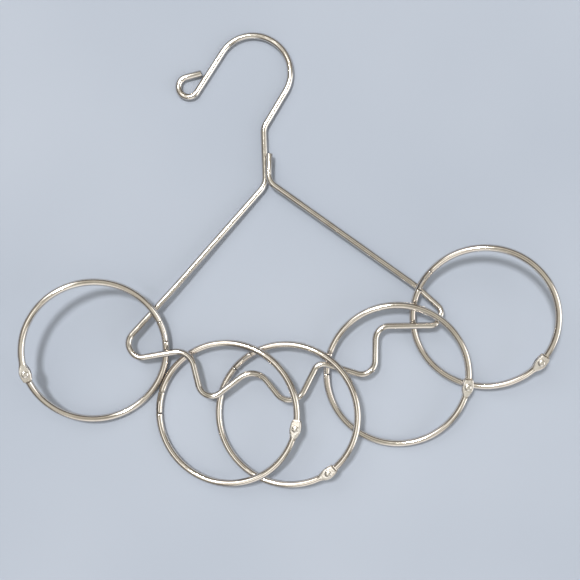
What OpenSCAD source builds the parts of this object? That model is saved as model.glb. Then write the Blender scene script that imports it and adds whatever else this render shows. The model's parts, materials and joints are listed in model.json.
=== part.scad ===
// Scarf hanger: one bent wire with a hook, a wavy lower bar and five hinged rings.
// The hanger lies flat on its back. Every height is the height of a wire's centre line
// above that of a wire lying on the table, so it follows the wires' thickness.

/* [Wires] */
// diameter of the hanger wire
wire_d = 3.7; // [3.3:0.1:4.1]
// diameter of the ring wire
ring_wire_d = 3.9; // [3.5:0.1:4.3]
// inside diameter of a ring; the whole layout follows it
ring_inside_d = 76.2; // [70:0.1:84]
// spare height where one wire passes over another
crossing_gap = 0.36; // [0.3:0.02:0.6]

/* [Hook] */
// bend radius at the top of the hook
hook_bend_r = 20.8; // [19:0.1:20.9]
// bend radius of the small curl at the hook's end
curl_bend_r = 5.3; // [4.6:0.1:5.4]
// diameter of the spot weld between the neck and the wire's stub end
weld_d = 2.6; // [1.6:0.1:3]
// height of the spot weld above the stub's foot
weld_at = 7.5; // [6:0.5:11]

/* [Knuckle] */
// width of a fork's cheeks across the ring
knuckle_w = 6.9; // [6:0.1:7.6]
// thickness of a knuckle across both cheeks
knuckle_t = 4.2; // [4:0.1:4.8]
// radius of the cheeks' open end about the rivet
cheek_r = 5; // [4.4:0.1:5.4]
// gap between the cheeks' end and the shoulder of the tongue half
shoulder_gap = 0.3; // [0.3:0.05:0.6]
// thickness of the tongue between the cheeks
tongue_t = 1.3; // [1:0.1:1.6]
// clearance on each face of the tongue
tongue_gap = 0.1; // [0.05:0.05:0.2]
// radius of the tongue's round eye
tongue_r = 3.2; // [2.6:0.1:3.3]
// length of the taper from the wire to the cheeks
taper_l = 4.4; // [3.5:0.1:6]

/* [Rivet] */
// diameter of the rivet's shank
rivet_d = 2.2; // [1.6:0.1:2.4]
// radial running clearance of the shank in the tongue
rivet_clear = 0.06; // [0.02:0.01:0.1]
// diameter of a rivet head
rivet_head_d = 3.2; // [2.8:0.1:3.8]
// height of a domed rivet head
rivet_head_h = 0.55; // [0.4:0.05:0.8]

/* [Closure] */
// length of the lap joint along the ring, in degrees
lap_angle = 8.5; // [6:0.5:11]
// length of the barb at the lap's end, in degrees
barb_angle = 3; // [2:0.25:4]
// step of the barb across the wire
barb_step = 0.6; // [0.3:0.05:0.8]
// gap along the lap joint's cuts
lap_gap = 0.3; // [0.2:0.05:0.4]

/* [Hidden] */
$fn = 96;
// hairline groove where a bend meets a straight length, and the core's reach past it
groove_w = 0.02;
groove_depth = 0.06;
core_reach = 0.5;
// wire let into the fork's block, and tongue let into the wire
wire_in_block = 1.5;
tongue_in_wire = 1;
// distance from the rivet to the wide end of the fork's taper
taper_from = 1;
// gap between the tongue's eye and the end of the slot
slot_end_gap = 0.4;
// how far an edge let into the wire stays under the wire's surface
let_in = 0.1;
// ring radius and distance between crossing wires that the layout below was drawn for
layout_ring_r = (76.2 + 3.9) / 2;
layout_crossing = (3.7 + 3.9) / 2 + 0.36;
ring_r = (ring_inside_d + ring_wire_d) / 2;
// the plan follows the ring's radius, the heights follow the two wires
plan = ring_r / layout_ring_r;
stack = ((wire_d + ring_wire_d) / 2 + crossing_gap) / layout_crossing;
// the layout below is measured from the middle of the neck and then centred
middle = [-0.33, 16.85];

// bends of the hanger wire, in the order of the wire: [x, y, height, bend radius]
// cut end of the stub, beside the neck
stub_end = [-11.5, 77.4, 3.75, 0.0];
// foot of the stub, where the right shoulder begins
stub_low = [-12.0, 61.7, 4.60, 8.0];
// upper part of the right shoulder
right_shoulder_top = [23.2, 36.8, 3.75, 68.2];
// lower part of the right shoulder
right_shoulder_low = [71.5, 2.5, 3.56, 34.1];
// right corner, outer bend
right_corner_out = [86.3, -11.0, 5.46, 4.8];
// right corner, inner bend into the wavy bar
right_corner_in = [82.6, -19.6, 7.27, 4.8];
// right peak of the wavy bar
bar_right_peak = [48.6, -20.1, 7.83, 7.7];
// right valley
bar_right_valley = [48.1, -49.9, 7.82, 7.8];
// peak right of the middle
bar_peak_right_mid = [16.3, -40.3, 7.69, 5.6];
// middle valley
bar_middle_valley = [1.7, -69.7, 7.72, 9.0];
// peak left of the middle
bar_peak_left_mid = [-19.4, -42.9, 8.01, 10.5];
// left valley
bar_left_valley = [-48.7, -65.3, 8.22, 7.7];
// left peak of the wavy bar
bar_left_peak = [-56.5, -33.3, 8.17, 9.6];
// left corner, inner bend
left_corner_in = [-87.3, -38.8, 6.91, 7.3];
// left corner, outer bend
left_corner_out = [-93.5, -29.3, 5.80, 7.4];
// left shoulder, one long bend
left_shoulder = [-63.4, 3.7, 3.58, 68.2];
// foot of the neck
neck_low = [-13.8, 60.1, 1.10, 11.4];
// top of the neck, where the hook begins
neck_top = [-14.9, 92.3, 0.85, 8.6];
// hook, right side
hook_top_right = [8.2, 130.7, 0.15, 20.9];
// hook, left side
hook_top_left = [-27.6, 151.5, 0.00, 20.9];
// curl at the hook's end
curl_start = [-55.3, 108.9, 0.00, 5.6];
// curl, outer turn
curl_middle = [-63.4, 111.5, 0.00, 5.6];
// curl, last turn
curl_end = [-63.2, 120.0, 0.00, 5.6];
// cut end of the wire, against the hook
wire_end = [-50.4, 123.3, 0.00, 0.0];

wire_bends = [stub_end, stub_low, right_shoulder_top, right_shoulder_low, right_corner_out,
    right_corner_in, bar_right_peak, bar_right_valley, bar_peak_right_mid, bar_middle_valley,
    bar_peak_left_mid, bar_left_valley, bar_left_peak, left_corner_in, left_corner_out,
    left_shoulder, neck_low, neck_top, hook_top_right, hook_top_left, curl_start, curl_middle,
    curl_end, wire_end];

// rings: [x, y, height of the centre, slope along x, slope along y, rivet angle, span]
ring_1_place = [-110.0, -34.3, 10.94, 0.194, -0.190, 196.7, 170.0];
ring_2_place = [-35.5, -69.9, 6.01, -0.146, -0.008, -10.9, 174.3];
ring_3_place = [-1.3, -70.5, 6.61, -0.160, -0.018, -54.1, 175.4];
ring_4_place = [60.9, -47.9, 5.36, -0.066, -0.113, -8.9, 170.9];
ring_5_place = [109.1, -15.3, 10.61, -0.162, -0.202, -37.9, 178.9];

function unit(v) = v / norm(v);
function wire_point(b) =
    [plan * (b.x - middle.x), plan * (b.y - middle.y), wire_d / 2 + stack * b.z];
// points on the two wires that the weld joins, at a distance up the neck from the stub's foot
function on_stub(y) = let (p = wire_point(stub_low), q = wire_point(stub_end)) p + (q - p) * y / (q.y - p.y);
function on_neck(y) = let (p = wire_point(neck_low), q = wire_point(neck_top))
    p + (q - p) * (y + wire_point(stub_low).y - p.y) / (q.y - p.y);
function turn_angle(p, i) = acos(min(1, max(-1, unit(p[i] - p[i - 1]) * unit(p[i + 1] - p[i]))));
function bend_reach(p, r, i) =
    i == 0 || i == len(p) - 1 ? 0 : r[i] * tan(turn_angle(p, i) / 2);

// places its children with the x axis along ex, the z axis along ez and the origin at o
module placed(o, ex, ez) {
    ey = cross(ez, ex);
    multmatrix([[ex.x, ey.x, ez.x, o.x], [ex.y, ey.y, ez.y, o.y], [ex.z, ey.z, ez.z, o.z], [0, 0, 0, 1]])
        children();
}

module rod(a, b, d) {
    along = unit(b - a);
    side = unit(cross(along, abs(along.z) < 0.9 ? [0, 0, 1] : [1, 0, 0]));
    placed(a, side, along) cylinder(h = norm(b - a), d = d);
}

// a round bend of radius r at the corner q between the corners p and s
module bend(p, q, s, r, d) {
    d1 = unit(q - p);
    d2 = unit(s - q);
    turn = acos(d1 * d2);
    axis = unit(cross(d1, d2));
    start = q - d1 * r * tan(turn / 2);
    out = cross(d1, axis);
    placed(start - r * out, out, axis)
        rotate_extrude(angle = turn) translate([r, 0]) circle(d = d);
}

// a wire along the points p with the bend radii r: hairline grooves mark where each
// bend meets the straight lengths, and a core runs through under them
module bent_wire(p, r, d) {
    last = len(p) - 1;
    core_d = d - 2 * groove_depth;
    for (i = [0 : last - 1]) {
        along = unit(p[i + 1] - p[i]);
        a = p[i] + along * bend_reach(p, r, i);
        b = p[i + 1] - along * bend_reach(p, r, i + 1);
        reach = along * core_reach;
        groove = along * groove_w;
        if (norm(b - a) > 4 * core_reach) {
            rod(i == 0 ? a : a + groove, i == last - 1 ? b : b - groove, d);
            if (i > 0) rod(a - reach, a + reach, core_d);
            if (i < last - 1) rod(b - reach, b + reach, core_d);
        } else {
            if (norm(b - a) > 4 * groove_w) rod(a + groove, b - groove, d);
            rod(a - reach, b + reach, core_d);
        }
    }
    for (i = [1 : last - 1]) bend(p[i - 1], p[i], p[i + 1], r[i], d);
}

module hanger_wire() {
    points = [for (b = wire_bends) wire_point(b)];
    radii = [for (b = wire_bends) b == hook_top_right || b == hook_top_left ? hook_bend_r
        : b == curl_start || b == curl_middle || b == curl_end ? curl_bend_r : plan * b[3]];
    color("silver") union() {
        bent_wire(points, radii, wire_d);
        rod(on_stub(weld_at), on_neck(weld_at), weld_d);
    }
}

// part of the ring's wire from angle a to angle b
module ring_arc(a, b) {
    rotate_extrude(start = a, angle = b - a) translate([ring_r, 0]) circle(d = ring_wire_d);
}

// what the lap joint takes off the wire from angle a to angle b, between the radii lo and hi
module lap_cut(a, b, lo, hi) {
    rotate_extrude(start = a, angle = b - a)
        translate([lo, -ring_wire_d]) square([hi - lo, 2 * ring_wire_d]);
}

// half outline of a knuckle block round the rivet, which stands at [ring_r, 0]:
// the fork half lies below the x axis, the tongue half above it
module cheeks_outline() {
    intersection() {
        translate([ring_r, 0]) circle(r = cheek_r);
        translate([ring_r - knuckle_w / 2, -2 * cheek_r]) square([knuckle_w, 4 * cheek_r]);
    }
}

// the flattened end of the fork half, before it is slotted
module fork_block() {
    taper_turn = -(taper_l / 2 + taper_from) / ring_r * 180 / PI;
    translate([0, 0, -knuckle_t / 2]) linear_extrude(knuckle_t) cheeks_outline();
    intersection() {
        rotate([0, 0, taper_turn]) translate([ring_r, taper_l / 2, 0]) rotate([90, 0, 0])
            cylinder(h = taper_l, d1 = knuckle_w, d2 = ring_wire_d - let_in);
        translate([ring_r - knuckle_w, -3 * taper_l, -knuckle_t / 2])
            cube([2 * knuckle_w, 3 * taper_l, knuckle_t]);
    }
}

// the fork half runs from the rivet to the lap joint, the long way down
module fork_half(span) {
    gap_angle = lap_gap / ring_r * 180 / PI;
    block_angle = wire_in_block / ring_r * 180 / PI;
    lap_end = span + lap_angle;
    barb_from = lap_end - barb_angle;
    color("gainsboro") difference() {
        union() {
            ring_arc(span + gap_angle, 360 - block_angle);
            fork_block();
        }
        lap_cut(span, barb_from + gap_angle, ring_r - ring_wire_d, ring_r + lap_gap / 2);
        lap_cut(barb_from, lap_end + gap_angle,
            ring_r - ring_wire_d, ring_r + barb_step + lap_gap / 2);
        slot_t = tongue_t + 2 * tongue_gap;
        translate([ring_r - knuckle_w, -tongue_r - slot_end_gap, -slot_t / 2])
            cube([2 * knuckle_w, 3 * cheek_r, slot_t]);
        translate([ring_r, 0, -knuckle_t]) cylinder(h = 2 * knuckle_t, d = rivet_d);
    }
}

// the tongue half runs from the rivet to the lap joint, the short way up
module tongue_half(span) {
    shoulder_r = cheek_r + shoulder_gap;
    lap_end = span + lap_angle;
    color("gainsboro") difference() {
        union() {
            difference() {
                ring_arc(0, lap_end);
                translate([ring_r, 0, -knuckle_t]) cylinder(h = 2 * knuckle_t, r = shoulder_r);
                lap_cut(span, lap_end - barb_angle,
                    ring_r - lap_gap / 2, ring_r + ring_wire_d);
                lap_cut(span, lap_end + lap_angle,
                    ring_r + barb_step - lap_gap / 2, ring_r + ring_wire_d);
            }
            translate([0, 0, -tongue_t / 2]) linear_extrude(tongue_t) {
                translate([ring_r, 0]) circle(r = tongue_r);
                intersection() {
                    translate([ring_r - ring_wire_d / 2, 0])
                        square([ring_wire_d, shoulder_r + tongue_in_wire]);
                    circle(r = ring_r + ring_wire_d / 2 - let_in);
                }
            }
        }
        translate([ring_r, 0, -knuckle_t])
            cylinder(h = 2 * knuckle_t, d = rivet_d + 2 * rivet_clear);
    }
}

// a domed head is the cap of a ball that the rivet's size and height give
module rivet() {
    ball_r = (pow(rivet_head_d / 2, 2) + pow(rivet_head_h, 2)) / (2 * rivet_head_h);
    color("gray") translate([ring_r, 0, 0]) union() {
        translate([0, 0, -knuckle_t / 2]) cylinder(h = knuckle_t, d = rivet_d);
        for (m = [0, 1]) mirror([0, 0, m]) intersection() {
            translate([0, 0, knuckle_t / 2 + rivet_head_h - ball_r]) sphere(r = ball_r);
            translate([0, 0, knuckle_t / 2]) cylinder(h = 2 * rivet_head_h, d = 2 * rivet_head_d);
        }
    }
}

// puts a piece of a ring where the ring lies: tilted, then turned to its rivet's angle
module at_ring(place) {
    nx = place[3] * stack / plan;
    ny = place[4] * stack / plan;
    tilt = asin(norm([nx, ny]));
    translate([plan * (place.x - middle.x), plan * (place.y - middle.y),
        ring_wire_d / 2 + stack * place.z])
        rotate(a = tilt, v = [-ny, nx, 0]) rotate([0, 0, place[5]]) children();
}

module ring_1_fork_half() { at_ring(ring_1_place) fork_half(ring_1_place[6]); }
module ring_1_tongue_half() { at_ring(ring_1_place) tongue_half(ring_1_place[6]); }
module ring_1_rivet() { at_ring(ring_1_place) rivet(); }
module ring_2_fork_half() { at_ring(ring_2_place) fork_half(ring_2_place[6]); }
module ring_2_tongue_half() { at_ring(ring_2_place) tongue_half(ring_2_place[6]); }
module ring_2_rivet() { at_ring(ring_2_place) rivet(); }
module ring_3_fork_half() { at_ring(ring_3_place) fork_half(ring_3_place[6]); }
module ring_3_tongue_half() { at_ring(ring_3_place) tongue_half(ring_3_place[6]); }
module ring_3_rivet() { at_ring(ring_3_place) rivet(); }
module ring_4_fork_half() { at_ring(ring_4_place) fork_half(ring_4_place[6]); }
module ring_4_tongue_half() { at_ring(ring_4_place) tongue_half(ring_4_place[6]); }
module ring_4_rivet() { at_ring(ring_4_place) rivet(); }
module ring_5_fork_half() { at_ring(ring_5_place) fork_half(ring_5_place[6]); }
module ring_5_tongue_half() { at_ring(ring_5_place) tongue_half(ring_5_place[6]); }
module ring_5_rivet() { at_ring(ring_5_place) rivet(); }

hanger_wire();
ring_1_fork_half();
ring_1_tongue_half();
ring_1_rivet();
ring_2_fork_half();
ring_2_tongue_half();
ring_2_rivet();
ring_3_fork_half();
ring_3_tongue_half();
ring_3_rivet();
ring_4_fork_half();
ring_4_tongue_half();
ring_4_rivet();
ring_5_fork_half();
ring_5_tongue_half();
ring_5_rivet();
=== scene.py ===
import json
import math

import bmesh
import bpy
from mathutils import Matrix, Vector


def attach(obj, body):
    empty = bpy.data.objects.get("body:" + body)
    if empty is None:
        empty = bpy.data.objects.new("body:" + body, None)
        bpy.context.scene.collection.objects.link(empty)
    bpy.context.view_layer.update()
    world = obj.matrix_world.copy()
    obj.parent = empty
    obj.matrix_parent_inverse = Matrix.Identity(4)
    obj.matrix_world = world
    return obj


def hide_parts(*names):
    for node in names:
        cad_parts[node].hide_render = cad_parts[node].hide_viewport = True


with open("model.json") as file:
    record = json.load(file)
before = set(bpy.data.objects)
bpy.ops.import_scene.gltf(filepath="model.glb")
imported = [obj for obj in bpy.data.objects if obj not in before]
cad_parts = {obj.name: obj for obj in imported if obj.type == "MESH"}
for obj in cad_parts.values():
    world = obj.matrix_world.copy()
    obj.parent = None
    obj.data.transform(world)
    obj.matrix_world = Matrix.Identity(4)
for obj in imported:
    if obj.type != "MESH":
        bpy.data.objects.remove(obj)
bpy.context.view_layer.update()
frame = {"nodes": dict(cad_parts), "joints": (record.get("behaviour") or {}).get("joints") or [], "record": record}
MM = 0.001

# helpers


def new_object(name, data):
    obj = bpy.data.objects.new(name, data)
    bpy.context.collection.objects.link(obj)
    return obj


def placement(x_axis, y_axis, z_axis, origin):
    """The matrix that lays the local axes along these three, with the local origin at origin."""
    return Matrix((
        (x_axis.x, y_axis.x, z_axis.x, origin.x),
        (x_axis.y, y_axis.y, z_axis.y, origin.y),
        (x_axis.z, y_axis.z, z_axis.z, origin.z),
        (0.0, 0.0, 0.0, 1.0)))


# materials

PAINTED_EDGE_SHADE_TINT = (0.30, 0.28, 0.30, 1.0)  # dark edge tint: painted shade along the plated wires' edges, where they mirror the shadowed table
CLOTH_DARK = (0.358, 0.403, 0.483)
CLOTH_PALE = (0.412, 0.456, 0.536)


def new_material(name):
    mat = bpy.data.materials.new(name)
    mat.use_nodes = True
    tree = mat.node_tree
    shader = tree.nodes["Principled BSDF"]
    return mat, tree, shader


def object_coords(tree):
    return tree.nodes.new("ShaderNodeTexCoord").outputs["Object"]


def noise(tree, coords, scale, detail, rough):
    node = tree.nodes.new("ShaderNodeTexNoise")
    node.inputs["Scale"].default_value = scale
    node.inputs["Detail"].default_value = detail
    node.inputs["Roughness"].default_value = rough
    tree.links.new(coords, node.inputs["Vector"])
    return node


def ramp(tree, value, stops):
    """A colour ramp that value runs through; a stop is a place from 0 to 1 and a colour."""
    node = tree.nodes.new("ShaderNodeValToRGB")
    elements = node.color_ramp.elements
    while len(elements) < len(stops):
        elements.new(0.5)
    for element, (place, colour) in zip(elements, stops):
        element.position = place
        element.color = (*colour, 1.0)
    tree.links.new(value, node.inputs["Fac"])
    return node


def relief(tree, shader, height, strength, depth_mm):
    """Fine bumps on the surface where the noise node height says."""
    bump = tree.nodes.new("ShaderNodeBump")
    bump.inputs["Strength"].default_value = strength
    bump.inputs["Distance"].default_value = depth_mm * MM
    tree.links.new(height.outputs["Fac"], bump.inputs["Height"])
    tree.links.new(bump.outputs["Normal"], shader.inputs["Normal"])


def plated(name, bright, dull, rough_low, rough_high, wear=900.0, dents=0.05, depth=0.1):
    """Polished plating: the tone and the polish vary a little over the surface.

    wear is the grain's scale, dents its strength and depth its height in mm."""
    mat, tree, shader = new_material(name)
    coords = object_coords(tree)
    shader.inputs["Metallic"].default_value = 1.0
    # painted shade: the dark edge tint darkens the metal where it is seen at a grazing angle
    shader.inputs["Specular Tint"].default_value = PAINTED_EDGE_SHADE_TINT
    patches = noise(tree, coords, scale=60.0, detail=5.0, rough=0.6)
    tone = ramp(tree, patches.outputs["Fac"], [(0.35, dull), (0.62, bright)])
    tree.links.new(tone.outputs["Color"], shader.inputs["Base Color"])
    polish = tree.nodes.new("ShaderNodeMapRange")
    polish.inputs["From Min"].default_value = 0.3
    polish.inputs["From Max"].default_value = 0.7
    polish.inputs["To Min"].default_value = rough_low
    polish.inputs["To Max"].default_value = rough_high
    fine = noise(tree, coords, scale=400.0, detail=3.0, rough=0.5)
    tree.links.new(fine.outputs["Fac"], polish.inputs["Value"])
    tree.links.new(polish.outputs["Result"], shader.inputs["Roughness"])
    grain = noise(tree, coords, scale=wear, detail=2.0, rough=0.5)
    relief(tree, shader, grain, dents, depth)
    return mat


def cloth():
    """Pale blue-grey cloth: broad patches of tone and a fine weave."""
    mat, tree, shader = new_material("table_cloth")
    coords = object_coords(tree)
    broad = noise(tree, coords, scale=5.0, detail=2.0, rough=0.45)
    tone = ramp(tree, broad.outputs["Fac"], [(0.25, CLOTH_DARK), (0.75, CLOTH_PALE)])
    tree.links.new(tone.outputs["Color"], shader.inputs["Base Color"])
    shader.inputs["Roughness"].default_value = 0.95
    weave = noise(tree, coords, scale=1400.0, detail=2.0, rough=0.6)
    relief(tree, shader, weave, strength=0.12, depth_mm=0.2)
    return mat


HANGER = plated("hanger_plating", bright=(0.82, 0.78, 0.72), dull=(0.70, 0.65, 0.59),
                rough_low=0.08, rough_high=0.17)
RING = plated("ring_plating", bright=(0.84, 0.79, 0.72), dull=(0.71, 0.65, 0.59),
              rough_low=0.07, rough_high=0.16)
# pressed cheeks: a rougher, dented finish, and a brighter tone than the wire's plating that is a painted highlight
# on their flat faces
CHEEK_FINISH_AND_HIGHLIGHT = plated("pressed_plating_and_painted_highlight", bright=(0.93, 0.90, 0.85), dull=(0.74, 0.69, 0.63),
               rough_low=0.22, rough_high=0.36, wear=1100.0, dents=0.5, depth=0.25)
RIVET = plated("rivet_steel", bright=(0.90, 0.87, 0.82), dull=(0.78, 0.74, 0.69),
               rough_low=0.14, rough_high=0.24)

for name, obj in frame["nodes"].items():
    mat = HANGER if name == "hanger_wire" else RIVET if name.endswith("rivet") else RING
    obj.data.materials.clear()
    obj.data.materials.append(mat)

# hanger wire

PLAN_SHIFT = (-0.33, 16.85)  # the layout's middle, in mm
WIRE_R = 1.85
WIRE_SIDES = 32
WIRE_RIM = 0.35  # rounding of the wire's cut ends, in mm
RIM_TURNS_DEG = (90, 60, 30, 0)  # rows of a rounded end, from the cut inwards
BEND_STEP = 0.8  # distance between the rows of a bend, in mm
LEAST_BEND_STEPS = 4
WIRE_BENDS = (  # x, y, height above a wire on the table, bend radius, in mm
    (-11.5, 77.4, 3.75, 0.0),  # stub end
    (-12.0, 61.7, 4.6, 8.0),  # stub low
    (23.2, 36.8, 3.75, 68.2),  # right shoulder top
    (71.5, 2.5, 3.56, 34.1),  # right shoulder low
    (86.3, -11.0, 5.46, 4.8),  # right corner out
    (82.6, -19.6, 7.27, 4.8),  # right corner in
    (48.6, -20.1, 7.83, 7.7),  # bar right peak
    (48.1, -49.9, 7.82, 7.8),  # bar right valley
    (16.3, -40.3, 7.69, 5.6),  # bar peak right mid
    (1.7, -69.7, 7.72, 9.0),  # bar middle valley
    (-19.4, -42.9, 8.01, 10.5),  # bar peak left mid
    (-48.7, -65.3, 8.22, 7.7),  # bar left valley
    (-56.5, -33.3, 8.17, 9.6),  # bar left peak
    (-87.3, -38.8, 6.91, 7.3),  # left corner in
    (-93.5, -29.3, 5.8, 7.4),  # left corner out
    (-63.4, 3.7, 3.58, 68.2),  # left shoulder
    (-13.8, 60.1, 1.1, 11.4),  # neck low
    (-14.9, 92.3, 0.85, 8.6),  # neck top
    (8.2, 130.7, 0.15, 20.8),  # hook top right
    (-27.6, 151.5, 0.0, 20.8),  # hook top left
    (-55.3, 108.9, 0.0, 5.3),  # curl start
    (-63.4, 111.5, 0.0, 5.3),  # curl middle
    (-63.2, 120.0, 0.0, 5.3),  # curl end
    (-50.4, 123.3, 0.0, 0.0),  # wire end
)


def wire_path(bends):
    """Points and directions along the wire: straight lengths joined by round bends."""
    corners = [Vector((x - PLAN_SHIFT[0], y - PLAN_SHIFT[1], WIRE_R + h)) for x, y, h, _ in bends]
    path = [(corners[0], (corners[1] - corners[0]).normalized())]
    for i in range(1, len(corners) - 1):
        corner, radius = corners[i], bends[i][3]
        into = (corner - corners[i - 1]).normalized()
        out = (corners[i + 1] - corner).normalized()
        turn = into.angle(out)
        inward = (out - into * into.dot(out)).normalized()
        start = corner - into * radius * math.tan(turn / 2)
        centre = start + inward * radius
        count = max(LEAST_BEND_STEPS, round(radius * turn / BEND_STEP))
        for k in range(count + 1):
            a = turn * k / count
            path.append((centre - inward * radius * math.cos(a) + into * radius * math.sin(a),
                         into * math.cos(a) + inward * math.sin(a)))
    path.append((corners[-1], (corners[-1] - corners[-2]).normalized()))
    return path


def rounded_end(point, inwards, radius):
    """Middles and radii of the rows that round off a cut end, from the cut inwards."""
    turns = [math.radians(a) for a in RIM_TURNS_DEG]
    return [(point + inwards * WIRE_RIM * (1 - math.sin(t)),
             radius - WIRE_RIM + WIRE_RIM * math.cos(t)) for t in turns]


def tube(name, path, radius):
    """A round wire along path, with slightly rounded cut ends."""
    (first, first_along), (last, last_along) = path[0], path[-1]
    spans = [(p, first_along, r) for p, r in rounded_end(first, first_along, radius)]
    spans += [(p, along, radius) for p, along in path[1:-1]]
    spans += [(p, last_along, r) for p, r in reversed(rounded_end(last, -last_along, radius))]
    side = first_along.orthogonal().normalized()
    verts, faces, rows = [], [], []
    for point, along, r in spans:
        side = (side - along * side.dot(along)).normalized()
        up = along.cross(side)
        rows.append(len(verts))
        for k in range(WIRE_SIDES):
            t = 2 * math.pi * k / WIRE_SIDES
            verts.append((point + (side * math.cos(t) + up * math.sin(t)) * r) * MM)
    for a, b in zip(rows, rows[1:]):
        for k in range(WIRE_SIDES):
            n = (k + 1) % WIRE_SIDES
            faces.append((a + k, a + n, b + n, b + k))
    faces.append(tuple(reversed(range(rows[0], rows[0] + WIRE_SIDES))))
    faces.append(tuple(range(rows[-1], rows[-1] + WIRE_SIDES)))
    mesh = bpy.data.meshes.new(name)
    mesh.from_pydata(verts, [], faces)
    mesh.shade_smooth()
    mesh.update()
    return new_object(name, mesh)


wire = tube("bent_wire", wire_path(WIRE_BENDS), WIRE_R)
wire.data.materials.append(HANGER)
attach(wire, "hanger")
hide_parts("hanger_wire")

# rings, in mm: each is made flat, with its rivet on the x axis, and then laid where it belongs

RING_WIRE_R = 1.95
RING_SPANS = (170.0, 174.3, 175.4, 170.9, 176.5)  # degrees from the rivet to the lap joint
WIRE_STEP_DEG = 2.5  # between the sections of a ring's wire
FORK_WIRE_FROM_DEG = -12.5  # where the fork half's plain wire begins
TONGUE_WIRE_FROM_DEG = 9.0  # where the tongue half's plain wire begins
LAP_DEG = 17.5  # length of the lap joint along the ring
BARB_DEG = 9.8  # length of the barb at the lap's end
LAP_GAP = 0.3  # between the cut faces of the lap joint
BARB_STEP = 0.6  # how far the barb stands out across the wire
STEP_DEG = 0.03  # a step in the lap joint, drawn as a steep ramp
EDGE_R = 0.35  # rounding of the wire's cut edges
EDGE_TURNS_DEG = (90, 60, 30)  # rows of a rounded edge, from the cut inwards
WIDEST_AT = -0.5  # along the ring from the rivet, towards the fork's own wire
CHEEK_END = 4.2  # along the ring from the rivet to the cheeks' open end
CHEEK_RIM = 0.15  # the open end's broken edge, along the ring
CHEEK_RIM_SHARE = (0.93, 0.9)  # width and thickness left at that edge
CHEEK_HALF_W = 3.2  # where the cheeks are widest
CHEEK_END_HALF_W = 2.55  # at their open end
CHEEK_HALF_T = 2.1
CHEEK_TAPER_L = 6.5  # from the widest place to the round wire
CHEEK_CORNERS = 0.3  # power that squares the cheeks' outline; 1 would be round
CHEEK_ROUNDING = 1.5  # how late the outline turns round along the taper
CHEEK_STEP = 0.5  # between the sections of the cheeks
CHEEK_SECTIONS = 24
CHEEK_REACH = 5.6  # the pressed finish and its painted highlight end this far from the rivet
SHOULDER_R = 5.3  # the tongue half's wire is hollowed this far from the rivet
TONGUE_T = 1.3
TONGUE_R = 3.2  # the round eye
TONGUE_HALF_W = 1.8
TONGUE_IN_WIRE = 1.0  # how far the tongue runs on inside the wire
TONGUE_ROOT_SHIFT = 0.4  # keeps the tongue's root inside the curved wire
SLOT_T = 1.5
SLOT_END = -3.6  # the slot's closed end, along the ring from the rivet
RIVET_R = 1.1
RIVET_UNDERSIZE = 0.01  # keeps the shank off the face of its bore
RIVET_CLEAR = 0.06  # running clearance in the tongue's eye
RIVET_HEADS = ((1.95, 0.85), (1.6, 0.55))  # radius and height, above and below
HEAD_RIM_SHARE = 0.25  # the straight rim's share of a head's height
DOME_TURNS_DEG = (82, 72, 60, 48, 36, 24, 12, 0)
FAR = 9.0  # past the surface of any ring piece
SIDES = 40
TURNS = [2 * math.pi * k / SIDES for k in range(SIDES)]
SMOOTH_BELOW_DEG = 38  # edges that turn more than this are drawn sharp


def mesh_object(name, verts, faces):
    """A closed mesh from points in mm, with its faces turned outwards."""
    mesh = bpy.data.meshes.new(name)
    mesh.from_pydata([v * MM for v in verts], [], faces)
    work = bmesh.new()
    work.from_mesh(mesh)
    bmesh.ops.recalc_face_normals(work, faces=work.faces)
    if work.calc_volume(signed=True) < 0:
        bmesh.ops.reverse_faces(work, faces=work.faces)
    work.to_mesh(mesh)
    work.free()
    return new_object(name, mesh)


def loft(name, sections, tips):
    """A closed skin through sections of equally many points, closed with fans to two tips."""
    count = len(sections[0])
    verts = [v for section in sections for v in section] + list(tips)
    faces = []
    for row in range(len(sections) - 1):
        a, b = row * count, (row + 1) * count
        faces += [(a + k, b + k, b + (k + 1) % count, a + (k + 1) % count) for k in range(count)]
    last = (len(sections) - 1) * count
    first_tip, last_tip = len(verts) - 2, len(verts) - 1
    faces += [(first_tip, k, (k + 1) % count) for k in range(count)]
    faces += [(last_tip, last + (k + 1) % count, last + k) for k in range(count)]
    return mesh_object(name, verts, faces)


def prism(name, outline, low, high):
    count = len(outline)
    verts = [Vector((x, y, z)) for z in (low, high) for x, y in outline]
    faces = [(k, (k + 1) % count, count + (k + 1) % count, count + k) for k in range(count)]
    faces += [tuple(reversed(range(count))), tuple(range(count, 2 * count))]
    return mesh_object(name, verts, faces)


def pin_hole(ring_r, radius):
    outline = [(ring_r + radius * math.cos(t), radius * math.sin(t)) for t in TURNS]
    return prism("hole", outline, -FAR, FAR)


def carve(obj, tool, operation):
    """Cuts tool out of obj, or joins it on, and deletes tool."""
    change = obj.modifiers.new("carve", "BOOLEAN")
    change.object = tool
    change.operation = operation
    change.solver = "MANIFOLD"
    shaped = obj.evaluated_get(bpy.context.evaluated_depsgraph_get())
    mesh = bpy.data.meshes.new_from_object(shaped)
    obj.modifiers.remove(change)
    obj.data = mesh
    bpy.data.objects.remove(tool)


def turn_at(reach, x, ring_r):
    """Angle along the ring of a point x outside its centre line and reach from the rivet."""
    return math.acos(1 - (reach * reach - x * x) / (2 * ring_r * (ring_r + x)))


def on_ring(ring_r, angle, x, z):
    return Vector(((ring_r + x) * math.cos(angle), (ring_r + x) * math.sin(angle), z))


def round_section(low=-FAR, high=FAR, wire_r=RING_WIRE_R):
    """The wire's round outline, cut flat at two distances across the wire."""
    return [(min(max(wire_r * math.cos(t), low), high), wire_r * math.sin(t)) for t in TURNS]


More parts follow.
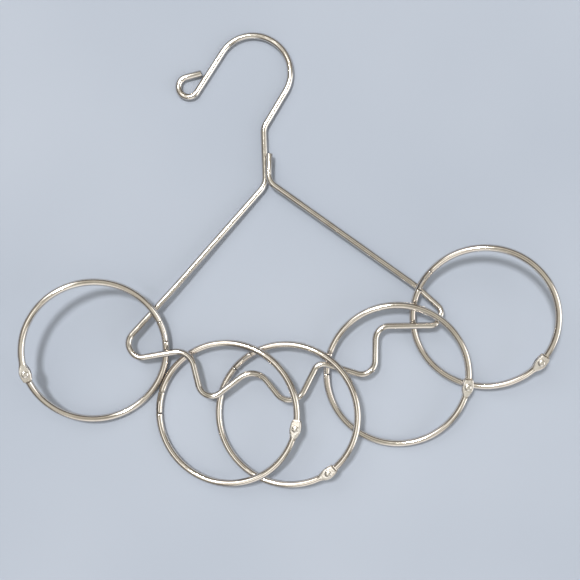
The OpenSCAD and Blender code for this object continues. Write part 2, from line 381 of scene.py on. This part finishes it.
def cheek_section(s):
    """The fork's outline at s along the ring: flat cheeks that taper into the round wire."""
    if s > WIDEST_AT:
        share = (s - WIDEST_AT) / (CHEEK_END - WIDEST_AT)
        half_w = CHEEK_HALF_W + (CHEEK_END_HALF_W - CHEEK_HALF_W) * share ** 2
        wire_share = 0.0
    else:
        taper = min(1.0, (WIDEST_AT - s) / CHEEK_TAPER_L)
        wire_share = 0.5 - 0.5 * math.cos(math.pi * taper)
        half_w = CHEEK_HALF_W + (RING_WIRE_R - CHEEK_HALF_W) * wire_share
    half_t = CHEEK_HALF_T + (RING_WIRE_R - CHEEK_HALF_T) * wire_share
    power = CHEEK_CORNERS + (1 - CHEEK_CORNERS) * wire_share ** CHEEK_ROUNDING
    points = []
    for t in TURNS:
        c, d = math.cos(t), math.sin(t)
        points.append((half_w * math.copysign(abs(c) ** power, c),
                       half_t * math.copysign(abs(d) ** power, d)))
    return points


def wire_sections(ring_r, start, end, section, step=WIRE_STEP_DEG):
    """Sections of the ring's wire from one angle to another, in degrees."""
    count = max(1, round(abs(end - start) / step))
    angles = [math.radians(start + (end - start) * k / count) for k in range(count + 1)]
    return [[on_ring(ring_r, a, x, z) for x, z in section] for a in angles]


def rounded_edge(ring_r, cut, towards, low=-FAR, high=FAR):
    """Sections that round the wire off at a cut, in order from the wire to the cut.

    cut is its angle in degrees, and towards is 1 or -1, the way that leads into the wire."""
    rows = []
    for turn in (math.radians(a) for a in reversed(EDGE_TURNS_DEG)):
        into_wire = math.degrees(EDGE_R * (1 - math.sin(turn)) / ring_r)
        angle = math.radians(cut + towards * into_wire)
        outline = round_section(low, high, RING_WIRE_R - EDGE_R * (1 - math.cos(turn)))
        rows.append([on_ring(ring_r, angle, x, z) for x, z in outline])
    return rows


def fork_half(name, ring_r, span):
    """Slotted cheeks round the rivet, and the wire the long way round to the lap joint."""
    gap = math.degrees(LAP_GAP / ring_r)
    edge = math.degrees(EDGE_R / ring_r)
    pocket_from = span + LAP_DEG + gap - 360
    barb_from = span + LAP_DEG - BARB_DEG - 360
    wire_end = span + gap - 360
    hook_low, pocket_low = LAP_GAP / 2, BARB_STEP + LAP_GAP / 2
    rim_at = (CHEEK_END + CHEEK_RIM) / ring_r
    rim_w, rim_t = CHEEK_RIM_SHARE
    sections = [[on_ring(ring_r, rim_at, x * rim_w, z * rim_t)
                 for x, z in cheek_section(CHEEK_END)]]
    for s in (CHEEK_END - CHEEK_STEP * k for k in range(CHEEK_SECTIONS)):
        sections.append([on_ring(ring_r, s / ring_r, x, z) for x, z in cheek_section(s)])
    sections += wire_sections(ring_r, FORK_WIRE_FROM_DEG, pocket_from + edge, round_section())
    sections += rounded_edge(ring_r, pocket_from, 1, low=-LAP_GAP / 2)
    sections += wire_sections(ring_r, pocket_from - STEP_DEG, barb_from,
                              round_section(low=pocket_low))
    sections += wire_sections(ring_r, barb_from - STEP_DEG, wire_end + edge,
                              round_section(low=hook_low))
    sections += rounded_edge(ring_r, wire_end, 1, low=hook_low)
    tips = (on_ring(ring_r, rim_at, 0, 0),
            on_ring(ring_r, math.radians(wire_end), (hook_low + RING_WIRE_R) / 2, 0))
    half = loft(name, sections, tips)
    slot = [(ring_r - FAR, SLOT_END), (ring_r + FAR, SLOT_END),
            (ring_r + FAR, FAR), (ring_r - FAR, FAR)]
    carve(half, prism("slot", slot, -SLOT_T / 2, SLOT_T / 2), "DIFFERENCE")
    carve(half, pin_hole(ring_r, RIVET_R), "DIFFERENCE")
    return half


def tongue_half(name, ring_r, span):
    """A flat tongue with a round eye, and the wire the short way round to the lap joint."""
    edge = math.degrees(EDGE_R / ring_r)
    lap_end = span + LAP_DEG
    barb_from = lap_end - BARB_DEG
    neck_high, barb_high = -LAP_GAP / 2, BARB_STEP - LAP_GAP / 2
    sections = [[on_ring(ring_r, turn_at(SHOULDER_R, x, ring_r), x, z)
                 for x, z in round_section()]]
    sections += wire_sections(ring_r, TONGUE_WIRE_FROM_DEG, span - edge, round_section())
    sections += rounded_edge(ring_r, span, -1)
    sections += wire_sections(ring_r, span + STEP_DEG, barb_from, round_section(high=neck_high))
    sections += wire_sections(ring_r, barb_from + STEP_DEG, lap_end - edge,
                              round_section(high=barb_high))
    sections += rounded_edge(ring_r, lap_end, -1, high=barb_high)
    tips = (on_ring(ring_r, turn_at(SHOULDER_R, 0, ring_r), 0, 0),
            on_ring(ring_r, math.radians(lap_end), -RING_WIRE_R / 2, 0))
    half = loft(name, sections, tips)
    root = SHOULDER_R + TONGUE_IN_WIRE
    root_x = ring_r - TONGUE_ROOT_SHIFT
    side_turn = math.acos(TONGUE_HALF_W / TONGUE_R)
    eye = [side_turn - (math.pi + 2 * side_turn) * k / SIDES for k in range(SIDES + 1)]
    outline = [(ring_r + TONGUE_R * math.cos(t), TONGUE_R * math.sin(t)) for t in eye]
    outline += [(root_x - TONGUE_HALF_W, root), (root_x + TONGUE_HALF_W, root)]
    carve(half, prism("tongue", outline, -TONGUE_T / 2, TONGUE_T / 2), "UNION")
    carve(half, pin_hole(ring_r, RIVET_R + RIVET_CLEAR), "DIFFERENCE")
    return half


def rivet(name, ring_r):
    """A turned pin: a high dome above, a flatter one below."""
    profile = []
    tips = []
    for side, (head_r, head_h) in zip((1, -1), RIVET_HEADS):
        rim = HEAD_RIM_SHARE * head_h
        part = [(head_r * math.cos(t), CHEEK_HALF_T + rim + (head_h - rim) * math.sin(t))
                for t in (math.radians(a) for a in DOME_TURNS_DEG)]
        part += [(head_r, CHEEK_HALF_T), (RIVET_R - RIVET_UNDERSIZE, CHEEK_HALF_T)]
        part = [(r, side * z) for r, z in part]
        profile += part if side > 0 else list(reversed(part))
        tips.append(Vector((ring_r, 0, side * (CHEEK_HALF_T + head_h))))
    sections = [[Vector((ring_r + r * math.cos(t), r * math.sin(t), z)) for t in TURNS]
                for r, z in profile]
    return loft(name, sections, tips)


joints = {joint["name"]: joint for joint in frame["joints"]}
bodies = frame["record"]["behaviour"]["bodies"]
body_of = {node: body for body, nodes in bodies.items() for node in nodes}
for number, span in enumerate(RING_SPANS, start=1):
    centre = Vector(joints[f"ring_{number}_turn"]["pos_m"])
    axis = Vector(joints[f"ring_{number}_turn"]["axis"]).normalized()
    arm = Vector(joints[f"ring_{number}_open"]["pos_m"]) - centre
    across = arm.normalized()
    ring_place = placement(across, axis.cross(across), axis, centre)
    ring_r = arm.length / MM
    fork = fork_half(f"ring_{number}_fork", ring_r, span)
    tongue = tongue_half(f"ring_{number}_tongue", ring_r, span)
    pin = rivet(f"ring_{number}_pin", ring_r)
    for kind, piece, mat, slot in (
            ("fork_half", fork, RING, "ring_chrome"),
            ("tongue_half", tongue, RING, "ring_chrome"),
            ("rivet", pin, RIVET, "rivet_steel")):
        node = f"ring_{number}_{kind}"
        piece.data.transform(ring_place)
        piece.data.shade_smooth()
        piece.data.set_sharp_from_angle(angle=math.radians(SMOOTH_BELOW_DEG))
        piece.data.materials.clear()
        piece.data.materials.append(mat)
        if kind == "fork_half":
            # the cheeks near the rivet get the pressed finish with its painted highlight
            piece.data.materials.append(CHEEK_FINISH_AND_HIGHLIGHT)
            for face in piece.data.polygons:
                from_rivet = (face.center - centre - arm).length
                face.material_index = int(from_rivet < CHEEK_REACH * MM)
        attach(piece, body_of[node])
        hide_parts(node)

# stage

FLOOR_M = 6.0
CAMERA_MM = (11.017, 17.402, 553.617)
CAMERA_AXES = ((0.999802, 0.0, -0.0198954),
               (-0.000624931, 0.99950656, -0.0314045),
               (0.0198856, 0.0314108, 0.99930872))
FOCAL_PX = 965.62
PICTURE_PX = 580.0
SENSOR_MM = 36.0
SUN_STRENGTH = 2.2
SUN_COLOUR = (1.0, 0.985, 0.96)
SUN_TOWARDS = (0.220, -0.307, -1.0)
SUN_WIDTH_DEG = 9
SUN_DISTANCE_M = 2.0
ROOM_STRENGTH = 0.74
SKY = (  # height in the room, from the horizon at 0 to straight up at 1, and colour
    (0.0, (0.04, 0.04, 0.04)), (0.20, (0.10, 0.09, 0.08)), (0.40, (0.34, 0.31, 0.27)),
    (0.62, (0.38, 0.36, 0.32)), (0.80, (0.84, 0.81, 0.73)), (0.92, (0.90, 0.87, 0.78)),
    (0.97, (0.48, 0.46, 0.40)), (1.0, (0.38, 0.36, 0.31)),
)
WINDOWS = (  # direction, cosines of the angles where it fades out and is full, strength
    ((0.90, -0.25, 0.36), 0.86, 0.95, 2.6),
    ((-0.42, 0.60, 0.68), 0.93, 0.985, 3.0),
    ((0.15, -0.90, 0.35), 0.88, 0.97, 1.2),
    ((-0.30, -0.19, 0.94), 0.984, 0.994, 1.6),
)
MIX_A, MIX_B, MIX_OUT = 6, 7, 2  # the colour sockets of a Mix node

bpy.ops.mesh.primitive_plane_add(size=FLOOR_M, location=(0, 0, 0))
floor = bpy.context.active_object
floor.name = "table"
floor.data.materials.append(cloth())

camera_data = bpy.data.cameras.new("camera")
camera_data.sensor_width = SENSOR_MM
camera_data.lens = FOCAL_PX / PICTURE_PX * SENSOR_MM
camera = new_object("camera", camera_data)
camera_at = Vector([(place - shift) * MM for place, shift in zip(CAMERA_MM, (*PLAN_SHIFT, 0.0))])
camera.matrix_world = placement(*(Vector(axis) for axis in CAMERA_AXES), camera_at)
bpy.context.scene.camera = camera

sun = bpy.data.lights.new("key", "SUN")
sun.energy = SUN_STRENGTH
sun.color = SUN_COLOUR
sun.angle = math.radians(SUN_WIDTH_DEG)
key = new_object("key", sun)
towards = Vector(SUN_TOWARDS).normalized()
key.location = -towards * SUN_DISTANCE_M
key.rotation_euler = towards.to_track_quat("-Z", "Y").to_euler()

world = bpy.data.worlds.new("room")
bpy.context.scene.world = world
world.use_nodes = True
tree = world.node_tree
background = tree.nodes["Background"]
where = tree.nodes.new("ShaderNodeTexCoord").outputs["Generated"]
parts = tree.nodes.new("ShaderNodeSeparateXYZ")
tree.links.new(where, parts.inputs["Vector"])
sky = ramp(tree, parts.outputs["Z"], SKY)


def window(direction, low, high, strength):
    """A bright patch of the room round a direction, as a factor."""
    dot = tree.nodes.new("ShaderNodeVectorMath")
    dot.operation = "DOT_PRODUCT"
    dot.inputs[1].default_value = Vector(direction).normalized()
    tree.links.new(where, dot.inputs[0])
    edge = tree.nodes.new("ShaderNodeMapRange")
    edge.interpolation_type = "SMOOTHSTEP"
    edge.inputs["From Min"].default_value = low
    edge.inputs["From Max"].default_value = high
    edge.inputs["To Min"].default_value = 0.0
    edge.inputs["To Max"].default_value = strength
    tree.links.new(dot.outputs["Value"], edge.inputs["Value"])
    return edge.outputs["Result"]


def add(a, b):
    node = tree.nodes.new("ShaderNodeMath")
    node.operation = "ADD"
    tree.links.new(a, node.inputs[0])
    tree.links.new(b, node.inputs[1])
    return node.outputs["Value"]


glow = window(*WINDOWS[0])
for bright_patch in WINDOWS[1:]:
    glow = add(glow, window(*bright_patch))
light_mix = tree.nodes.new("ShaderNodeMix")
light_mix.data_type = "RGBA"
light_mix.blend_type = "ADD"
light_mix.inputs["Factor"].default_value = 1.0
tree.links.new(sky.outputs["Color"], light_mix.inputs[MIX_A])
tree.links.new(glow, light_mix.inputs[MIX_B])
tree.links.new(light_mix.outputs[MIX_OUT], background.inputs["Color"])
background.inputs["Strength"].default_value = ROOM_STRENGTH

bpy.context.scene.view_settings.view_transform = "Standard"
